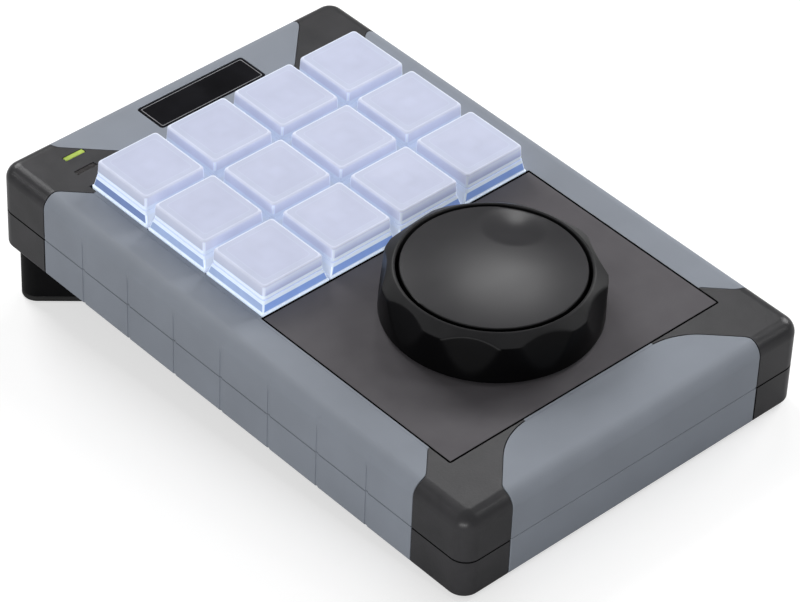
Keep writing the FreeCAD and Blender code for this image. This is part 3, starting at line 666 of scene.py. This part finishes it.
def key_base(place, outer):
    """The lit foot of a key: a flange and a rim with painted highlight lines, partly the real glow of their lit
    edges, and between them a blue band that narrows upwards, with painted light and shade by side.
    """
    node = "key_base_" + place
    cover_low, cover_high = own_box("key_cover_" + place)
    flange = flange_box(node, outer)
    foot_low, foot_high = inset_box(*flange, FLANGE_LEDGE)
    rim_low, rim_high = inset_box(cover_low, cover_high, -RIM_OUT)
    rim_z = cover_low.z
    band_low = FLANGE_HIGH + FLANGE_BRIGHT
    band_high = rim_z - RIM_HIGH

    def flange_ring(inset, z):
        return oblong(*inset_box(*flange, inset), FLANGE_CORNER, z)

    def skirt_ring(z):
        share = (z - FLANGE_HIGH) / (rim_z - FLANGE_HIGH)
        corner = FLANGE_CORNER + (RIM_CORNER - FLANGE_CORNER) * share
        return oblong(foot_low.lerp(rim_low, share), foot_high.lerp(rim_high, share), corner, z)

    def rim_ring(z):
        return oblong(rim_low, rim_high, RIM_CORNER, z)

    bright = around(bright_tones(outer))
    band = around(*band_tones(outer))
    rows = [
        (flange_ring(0, -FLANGE_LOW), bright),
        (flange_ring(0, FLANGE_HIGH - FLANGE_ROUND), bright),
        (flange_ring(FLANGE_ROUND, FLANGE_HIGH), bright),
        (skirt_ring(FLANGE_HIGH), bright),
        (skirt_ring(band_low), bright),
        (skirt_ring(band_low + BLEND), band),
        (skirt_ring(band_high - BLEND), band),
        (skirt_ring(band_high), bright),
        (rim_ring(rim_z - BLEND), bright),
        (rim_ring(rim_z - BLEND / 2), around(seam_tones(outer))),
    ]
    mesh = skinned(node + "_shape", [ring for ring, tones in rows], [tones for ring, tones in rows])
    add_piece(node + "_lit", mesh, [KEY_LIT], node)


def key_cover(place, outer):
    """The clear cap of a key: a lip with a painted highlight, a wall with painted shade towards its foot, painted
    light and shade by side and painted highlights up its corners, a soft bend with painted highlights, and a
    dished top with a margin.
    """
    node = "key_cover_" + place
    low, high = own_box(node)
    bright = around(bright_tones(outer))
    seam = around(seam_tones(outer))
    posts = [POST_HIGHLIGHT] * len(QUARTERS)
    wall = around(side_tones(outer, WALL_SIDE, WALL_SIDE, WALL_SIDE, WALL_FRONT, WALL_INNER), posts)
    high_wall = around(side_tones(outer, HIGH_SIDE, HIGH_SIDE, HIGH_SIDE, HIGH_FRONT, HIGH_INNER), posts)
    edge = around([FAR_EDGE_HIGHLIGHT, FAR_EDGE_HIGHLIGHT, NEAR_EDGE_HIGHLIGHT, NEAR_EDGE_HIGHLIGHT])
    rings = []
    tints = []

    def add_ring(inset, z, tones, corner=TOP_CORNER):
        rings.append(oblong(*inset_box(low, high, inset), corner, z))
        tints.append(tones)

    def even(tone):
        return around([tone] * len(QUARTERS))

    add_ring(0, low.z, seam)
    add_ring(0, low.z + LIP_SEAM, seam)
    add_ring(0, low.z + LIP_SEAM + BLEND, bright)
    add_ring(0, low.z + LIP_HIGH, bright)
    add_ring(BLEND / 4, low.z + LIP_HIGH + 2 * BLEND, wall)
    add_ring(WALL_LEAN, high.z - TOP_ROUND, high_wall)
    for step in range(1, ROUND_STEPS + 1):
        angle = step / ROUND_STEPS * math.pi / 2
        inset = WALL_LEAN + TOP_ROUND * (1 - math.cos(angle))
        add_ring(inset, high.z - TOP_ROUND * (1 - math.sin(angle)), edge)
    margin_out = WALL_LEAN + TOP_ROUND + BLEND
    margin_in = margin_out + MARGIN
    top_out = margin_in + LINE
    add_ring(margin_out, high.z, even(MARGIN_TONE))
    add_ring(margin_in, high.z, even(MARGIN_TONE))
    add_ring(margin_in + LINE / 2, high.z, even(LINE_TONE))
    add_ring(top_out, high.z, even(TOP_TONE))
    half = (high.x - low.x) / 2
    flat = half - top_out
    for share, level in DISH_SHARES:
        z = high.z - DISH_DEEP * (1 - share * share)
        corner = min(TOP_CORNER, flat * share / 2)
        add_ring(half - flat * share, z, even(Vector(TOP_TONE) * level), corner)
    add_piece(node + "_cap", skinned(node + "_shape", rings, tints), [KEY_CLEAR], node)


for row in ROWS:
    for column in COLUMNS:
        place = "r%dc%d" % (row, column)
        key_base(place, outer_sides(row, column))
        key_cover(place, outer_sides(row, column))

# Shuttle ring

RING_STEPS = 360
RING_LOW = 0.0006
RING_TOP = 0.0119
RING_SHOULDER = 0.0099
RING_OUT = 0.0237
RING_LAND = 0.0209
RING_BORE = 0.0204
RING_DEEP = 0.0085
RING_ROUND = 0.0003
LAND_STEPS = 12
SIDE_STEPS = 16
SCALLOPS = 9
SCALLOP_START = math.radians(175)
SCALLOP_RADIUS = 0.030
SCALLOP_DEEP = 0.00175
SCALLOP_LEAN = math.radians(10.5)
SCALLOP_SOFT = 0.00008
CUT_SHOWS = 0.00025
# The land's tone, with the side and the scallops darker still in painted shade
LAND_TONE = (0.022, 0.022, 0.023)
RING_SIDE_SHADE = (0.0012, 0.0012, 0.0014)
SCALLOP_SHADE = (0.004, 0.004, 0.0044)


def full_turn(steps):
    """The angles of a full turn in equal steps."""
    return [step / steps * 2 * math.pi for step in range(steps)]


def scallop_reach(angle, z):
    """How far out the nearest scallop lets the ring come at this angle and height."""
    pitch = 2 * math.pi / SCALLOPS
    off = (angle - SCALLOP_START + pitch / 2) % pitch - pitch / 2
    near = RING_OUT - SCALLOP_DEEP + (RING_TOP - z) * math.tan(SCALLOP_LEAN)
    middle = near + SCALLOP_RADIUS
    return middle * math.cos(off) - math.sqrt(SCALLOP_RADIUS**2 - (middle * math.sin(off)) ** 2)


def soft_least(a, b, softness):
    """The lesser of two lengths, with a soft change from one to the other."""
    return (a + b) / 2 - math.sqrt(((a - b) / 2) ** 2 + softness**2)


def ring_profile():
    """The ring's outline from its foot up the side, over the land and down the bore."""
    side_low = RING_LOW + RING_ROUND
    outline = [(RING_BORE, RING_LOW), (RING_OUT - RING_ROUND, RING_LOW), (RING_OUT, side_low)]
    for step in range(1, SIDE_STEPS + 1):
        share = step / SIDE_STEPS
        outline.append((RING_OUT, side_low + (RING_SHOULDER - side_low) * share))
    for step in range(1, LAND_STEPS + 1):
        share = step / LAND_STEPS
        radius = RING_OUT + (RING_LAND - RING_OUT) * share
        outline.append((radius, RING_SHOULDER + (RING_TOP - RING_SHOULDER) * share))
    outline.append((RING_BORE + RING_ROUND / 2, RING_TOP))
    outline.append((RING_BORE, RING_TOP - RING_ROUND / 2))
    outline.append((RING_BORE, RING_DEEP))
    return outline


def shuttle_ring():
    """The scalloped ring, with painted shade on its side and scallops, darker than its land."""
    rings = []
    tints = []
    for radius, z in ring_profile():
        plain = Vector(LAND_TONE if z > RING_SHOULDER else RING_SIDE_SHADE)
        ring = []
        tones = []
        for angle in full_turn(RING_STEPS):
            out = radius
            if radius > RING_BORE + RING_ROUND:
                out = soft_least(radius, scallop_reach(angle, z), SCALLOP_SOFT)
            cut = min(max((radius - out) / CUT_SHOWS, 0), 1)
            ring.append(Vector((out * math.cos(angle), out * math.sin(angle), z)))
            tones.append(plain.lerp(Vector(SCALLOP_SHADE), cut))
        rings.append(ring)
        tints.append(tones)
    mesh = skinned("shuttle_ring_shape", rings, tints, looped=True)
    add_piece("shuttle_ring_soft", mesh, [KNOB_BLACK], "shuttle_ring")


# Jog disc

DISC_STEPS = 180
DISC_RINGS = 60
DISC_OUT = 0.0196
DISC_TOP = 0.012
DISC_LOW = 0.0094
DISC_ROUND = 0.0002
DISC_DOME = 0.0012
DIMPLE_OUT = 0.0137
DIMPLE_ANGLE = math.radians(29)
DIMPLE_RADIUS = 0.0078
DIMPLE_DEEP = 0.0008
DISC_TONE = (0.029, 0.0285, 0.031)
# Painted shade on the disc's wall and edge, down inside the ring
DISC_WALL_SHADE = (0.004, 0.004, 0.004)


def disc_height(x, y):
    """The height of the disc's face: a faint dome with one finger dimple."""
    out = math.hypot(x, y) / DISC_OUT
    dimple_x = DIMPLE_OUT * math.cos(DIMPLE_ANGLE)
    dimple_y = DIMPLE_OUT * math.sin(DIMPLE_ANGLE)
    near = min(math.hypot(x - dimple_x, y - dimple_y) / DIMPLE_RADIUS, 1)
    return DISC_TOP + DISC_DOME * (1 - out * out) - DIMPLE_DEEP * (1 - near * near) ** 2


def jog_disc():
    """The disc, from its wall in painted shade over the edge to the middle of its face."""
    rings = []
    tints = []
    turns = full_turn(DISC_STEPS)
    for z in (DISC_LOW, DISC_TOP - 2 * DISC_ROUND, DISC_TOP - DISC_ROUND):
        rings.append([Vector((DISC_OUT * math.cos(turn), DISC_OUT * math.sin(turn), z)) for turn in turns])
        tints.append([DISC_WALL_SHADE] * DISC_STEPS)
    for number in range(DISC_RINGS):
        radius = (DISC_OUT - DISC_ROUND) * (1 - number / DISC_RINGS)
        ring = []
        for turn in turns:
            x = radius * math.cos(turn)
            y = radius * math.sin(turn)
            ring.append(Vector((x, y, disc_height(x, y))))
        rings.append(ring)
        tints.append([DISC_TONE] * DISC_STEPS)
    mesh = skinned("jog_disc_shape", rings, tints)
    add_piece("jog_disc_soft", mesh, [DISC_BLACK], "jog_disc")


shuttle_ring()
jog_disc()

# Badge

BADGE_CORNER = 0.0008
BADGE_ROUND = 0.00015
BADGE_FRAME = 0.0006
BADGE_LINE_WIDE = 0.00018


def badge():
    """The bare badge plate with a thin frame line."""
    low, high = own_box("badge_plate")
    dark, line = range(2)
    rows = [
        (0, low.z, BADGE_CORNER, dark),
        (0, high.z - BADGE_ROUND, BADGE_CORNER, dark),
        (BADGE_ROUND, high.z, BADGE_CORNER, dark),
        (BADGE_FRAME, high.z, BADGE_CORNER / 2, line),
        (BADGE_FRAME + BADGE_LINE_WIDE, high.z, BADGE_CORNER / 2, dark),
    ]
    layered("badge_bare", low, high, rows, [BADGE_DARK, BADGE_LINE], "badge_plate")


badge()

# Panel seam, in painted shade

SHADE_STRIP_WIDE = 0.00045
SHADE_STRIP_OVER = 0.0001
SHADE_STRIP_OFF = 0.00005
SHADE_STRIP_DEEP = 0.0003
SHADE_STRIP_PROUD = 0.00003


def panel_seam_shade():
    """A near-black strip in the seam round the panel, up to the keys at its rear: painted shade."""
    low, high = own_box("knob_panel")
    keys_front = own_box("key_base_r1c1")[0].y
    outer_low = low - Vector((SHADE_STRIP_WIDE, SHADE_STRIP_WIDE, 0))
    outer_high = Vector((high.x + SHADE_STRIP_WIDE, keys_front, 0))
    inner_low = low - Vector((SHADE_STRIP_OFF, SHADE_STRIP_OFF, 0))
    inner_high = high + Vector((SHADE_STRIP_OFF, -SHADE_STRIP_OVER, 0))
    rings = [
        oblong(outer_low, outer_high, SHADE_STRIP_WIDE, -SHADE_STRIP_DEEP),
        oblong(outer_low, outer_high, SHADE_STRIP_WIDE, SHADE_STRIP_PROUD),
        oblong(inner_low, inner_high, SHADE_STRIP_OFF, SHADE_STRIP_PROUD),
        oblong(inner_low, inner_high, SHADE_STRIP_OFF, -SHADE_STRIP_DEEP),
    ]
    mesh = skinned("panel_seam_shade_shape", rings, plain_tints(rings), looped=True)
    add_piece("panel_seam_shade", mesh, [SHADE_BLACK], "top_case", replace=False)


# Grip lips and the grips' seam

LIP_CORNER = 0.00005
LIP_OVER = 0.00008
LIP_OFF = 0.00012
SEAM_INSET = 0.00012
SEAM_CLEAR = 0.00002


def plate(name, low, high, bottom, top, finish, node):
    """A thin flat plate that is added to a node without taking its place."""
    rows = [(0, bottom, LIP_CORNER, 0), (0, top, LIP_CORNER, 0)]
    layered(name, low, high, rows, [finish], node, replace=False)


def straight_edge(node, axis, bound):
    """How far the straight inner edge of a grip runs, along the other axis."""
    along = [point[1 - axis] for point in own_points(node) if abs(point[axis] - bound) < LIP_OVER]
    return min(along), max(along)


def side_lips(side, sign):
    """The two lips of a side grip: one up to the panel's seam, one up to the keys."""
    node = "grip_%s_top" % side
    edge = own_box(node)[1].x if sign < 0 else own_box(node)[0].x
    near, far = straight_edge(node, 0, edge)
    keys_front = own_box("key_base_r1c1")[0].y
    at_panel = sign * (own_box("knob_panel")[1].x + SHADE_STRIP_WIDE)
    at_keys = sign * (own_box("key_base_r3c4")[1].x + LIP_OFF)
    outer = edge + sign * LIP_OVER
    for part, inner, start, end in (
        ("panel", at_panel, near, keys_front),
        ("keys", at_keys, keys_front, far),
    ):
        low = Vector((min(inner, outer), start, 0))
        high = Vector((max(inner, outer), end, 0))
        plate("%s_lip_%s" % (side, part), low, high, -SHADE_STRIP_DEEP, SHADE_STRIP_PROUD, GRIP_GREY, node)


def front_lip():
    """The front grip's lip up to the panel's seam."""
    node = "grip_front_top"
    edge = own_box(node)[1].y
    start, end = straight_edge(node, 1, edge)
    low = Vector((start, edge - LIP_OVER, 0))
    high = Vector((end, own_box("knob_panel")[0].y - SHADE_STRIP_WIDE, 0))
    plate("front_lip", low, high, -SHADE_STRIP_DEEP, SHADE_STRIP_PROUD, GRIP_GREY, node)


def grip_seams():
    """Fillers that keep the seam between the upper and lower grips shallow, in a darker grey that paints the
    seam's shade.
    """
    for side in SIDES:
        node = "grip_%s_bottom" % side
        low, high = own_box(node)
        ceiling = own_box("grip_%s_top" % side)[0].z
        inner = inset_box(low, high, SEAM_INSET)
        plate("seam_" + side, *inner, high.z + SEAM_CLEAR, ceiling - SEAM_CLEAR, SEAM_SHADE_GREY, node)


# Rib fillers

SIDE_BEND = 0.0035
RIB_COUNT = 7
RIB_PITCH = 0.01507
RIB_HALF = 0.00044
RIB_LEFT = 0.0002
RIB_DEEP = 0.0008
RIB_FLUSH = 0.00002
RIB_START = 0.0006
RIB_FADE = 0.0055
RIB_TURN = math.radians(40)
RIB_STEPS = 8


def rib_outline():
    """A rib filler's outline from the side, as depth under the grip's face and height."""
    foot = own_box("grip_left_bottom")[0].z + RIB_START
    outline = [(RIB_DEEP, foot), (RIB_LEFT, foot), (RIB_LEFT, -RIB_FADE), (RIB_FLUSH, -SIDE_BEND)]
    reach = SIDE_BEND - RIB_FLUSH
    for step in range(RIB_STEPS + 1):
        angle = step / RIB_STEPS * RIB_TURN
        outline.append((SIDE_BEND - reach * math.cos(angle), -SIDE_BEND + reach * math.sin(angle)))
    outline.append((RIB_DEEP + SIDE_BEND, outline[-1][1]))
    return outline


def rib_filler(name, sign, y):
    """Leaves one rib channel shallow, and fades it out below the bend at the top."""
    face = abs(own_box("grip_left_bottom")[0].x)
    outline = rib_outline()
    shape = bmesh.new()
    ends = []
    for offset in (-RIB_HALF, RIB_HALF):
        points = [PLACE @ Vector((sign * (face - deep), y + offset, z)) for deep, z in outline]
        ends.append([shape.verts.new(point) for point in points])
    for number in range(len(outline)):
        after = (number + 1) % len(outline)
        shape.faces.new((ends[0][number], ends[0][after], ends[1][after], ends[1][number]))
    shape.faces.new(ends[0])
    shape.faces.new(ends[1])
    bmesh.ops.recalc_face_normals(shape, faces=shape.faces)
    mesh = bpy.data.meshes.new(name + "_shape")
    shape.to_mesh(mesh)
    shape.free()
    add_piece(name, mesh, [GRIP_GREY], "grip_left_top", replace=False)


def rib_fillers():
    low, high = own_box("top_case")
    middle = (low.y + high.y) / 2
    for side, sign in (("left", -1), ("right", 1)):
        for number in range(RIB_COUNT):
            y = middle + (number - (RIB_COUNT - 1) / 2) * RIB_PITCH
            rib_filler("rib_%s_%d" % (side, number + 1), sign, y)


panel_seam_shade()
side_lips("left", -1)
side_lips("right", 1)
front_lip()
grip_seams()
rib_fillers()

# Camera, angles in degrees and lens in millimetres

CAMERA_PLACE = (-0.45161, -0.52368, 0.52037)
CAMERA_AZIMUTH = -40.901
CAMERA_ELEVATION = 36.311
CAMERA_ROLL = -2.258
CAMERA_LENS = 180.43


def add_camera():
    data = bpy.data.cameras.new("camera")
    data.lens = CAMERA_LENS
    camera = bpy.data.objects.new("camera", data)
    bpy.context.scene.collection.objects.link(camera)
    turn = Matrix.Rotation(math.radians(CAMERA_AZIMUTH), 4, "Z")
    turn @= Matrix.Rotation(math.radians(90 - CAMERA_ELEVATION), 4, "X")
    turn @= Matrix.Rotation(math.radians(CAMERA_ROLL), 4, "Z")
    camera.matrix_world = Matrix.Translation(CAMERA_PLACE) @ turn
    bpy.context.scene.camera = camera


# Floor and world

FLOOR_HALF = 20.0
FLOOR_TONE = (0.55, 0.55, 0.55, 1)
FLOOR_GLOW = 0.6
WHITE = (1, 1, 1, 1)
WORLD_LEVEL = 0.205
WORLD_SHOWN = 1.0


def floor_white():
    """A matt white that glows to the camera alone, so that the floor keeps the shadow."""
    material = bpy.data.materials.new("floor_white")
    material.use_nodes = True
    nodes = material.node_tree.nodes
    links = material.node_tree.links
    shader = shader_of(material)
    shader.inputs["Base Color"].default_value = FLOOR_TONE
    shader.inputs["Roughness"].default_value = 1
    shader.inputs["Specular IOR Level"].default_value = 0
    shader.inputs["Emission Color"].default_value = WHITE
    path = nodes.new("ShaderNodeLightPath")
    share = nodes.new("ShaderNodeMath")
    share.operation = "MULTIPLY"
    share.inputs[1].default_value = FLOOR_GLOW
    links.new(path.outputs["Is Camera Ray"], share.inputs[0])
    links.new(share.outputs["Value"], shader.inputs["Emission Strength"])
    return material


def add_floor():
    mesh = bpy.data.meshes.new("floor")
    corners = [
        (-FLOOR_HALF, -FLOOR_HALF, 0),
        (FLOOR_HALF, -FLOOR_HALF, 0),
        (FLOOR_HALF, FLOOR_HALF, 0),
        (-FLOOR_HALF, FLOOR_HALF, 0),
    ]
    mesh.from_pydata(corners, [], [(0, 1, 2, 3)])
    floor = bpy.data.objects.new("floor", mesh)
    bpy.context.scene.collection.objects.link(floor)
    mesh.materials.append(floor_white())


def add_world():
    """A white world that lights the keypad at a lower level than it shows."""
    world = bpy.data.worlds.new("studio")
    bpy.context.scene.world = world
    world.use_nodes = True
    nodes = world.node_tree.nodes
    links = world.node_tree.links
    background = nodes["Background"]
    background.inputs["Color"].default_value = WHITE
    path = nodes.new("ShaderNodeLightPath")
    level = nodes.new("ShaderNodeMapRange")
    level.inputs["To Min"].default_value = WORLD_LEVEL
    level.inputs["To Max"].default_value = WORLD_SHOWN
    links.new(path.outputs["Is Camera Ray"], level.inputs["Value"])
    links.new(level.outputs["Result"], background.inputs["Strength"])


# Lights

LAMP_AWAY = 1.2
STRIP_AWAY = 1.0
LARGE_LAMP = (0.55, 0.55)
SMALL_LAMP = (0.2, 0.2)
WIDE_LAMP = (0.8, 0.3)
STRIP_LAMP = (0.05, 0.5)

# The name, direction, distance, size and power of each lamp

LAMPS = (
    ("rear_left_light", (0.127, 0.72, 0.682), LAMP_AWAY, LARGE_LAMP, 7.6),
    ("rear_right_light", (0.86, -0.03, 0.56), LAMP_AWAY, LARGE_LAMP, 8.2),
    ("sheen_light", (0.52, 0.384, 0.762), LAMP_AWAY, SMALL_LAMP, 1.1),
    ("left_strip", (-0.586, 0.597, 0.544), STRIP_AWAY, STRIP_LAMP, 0.8),
    ("front_strip", (0.545, -0.586, 0.596), STRIP_AWAY, STRIP_LAMP, 0.8),
    ("left_fill", (-0.86, -0.5, 0.14), LAMP_AWAY, WIDE_LAMP, 7.4),
)


def add_lamp(name, direction, away, size, power):
    """A soft box in a given direction from the keypad, turned towards it."""
    data = bpy.data.lights.new(name, "AREA")
    data.shape = "RECTANGLE"
    data.size, data.size_y = size
    data.energy = power
    lamp = bpy.data.objects.new(name, data)
    bpy.context.scene.collection.objects.link(lamp)
    place = Vector(direction).normalized() * away
    aim = place.to_track_quat("Z", "Y").to_matrix().to_4x4()
    lamp.matrix_world = Matrix.Translation(place) @ aim


add_camera()
add_floor()
add_world()
for lamp in LAMPS:
    add_lamp(*lamp)
bpy.context.scene.view_settings.view_transform = "Standard"
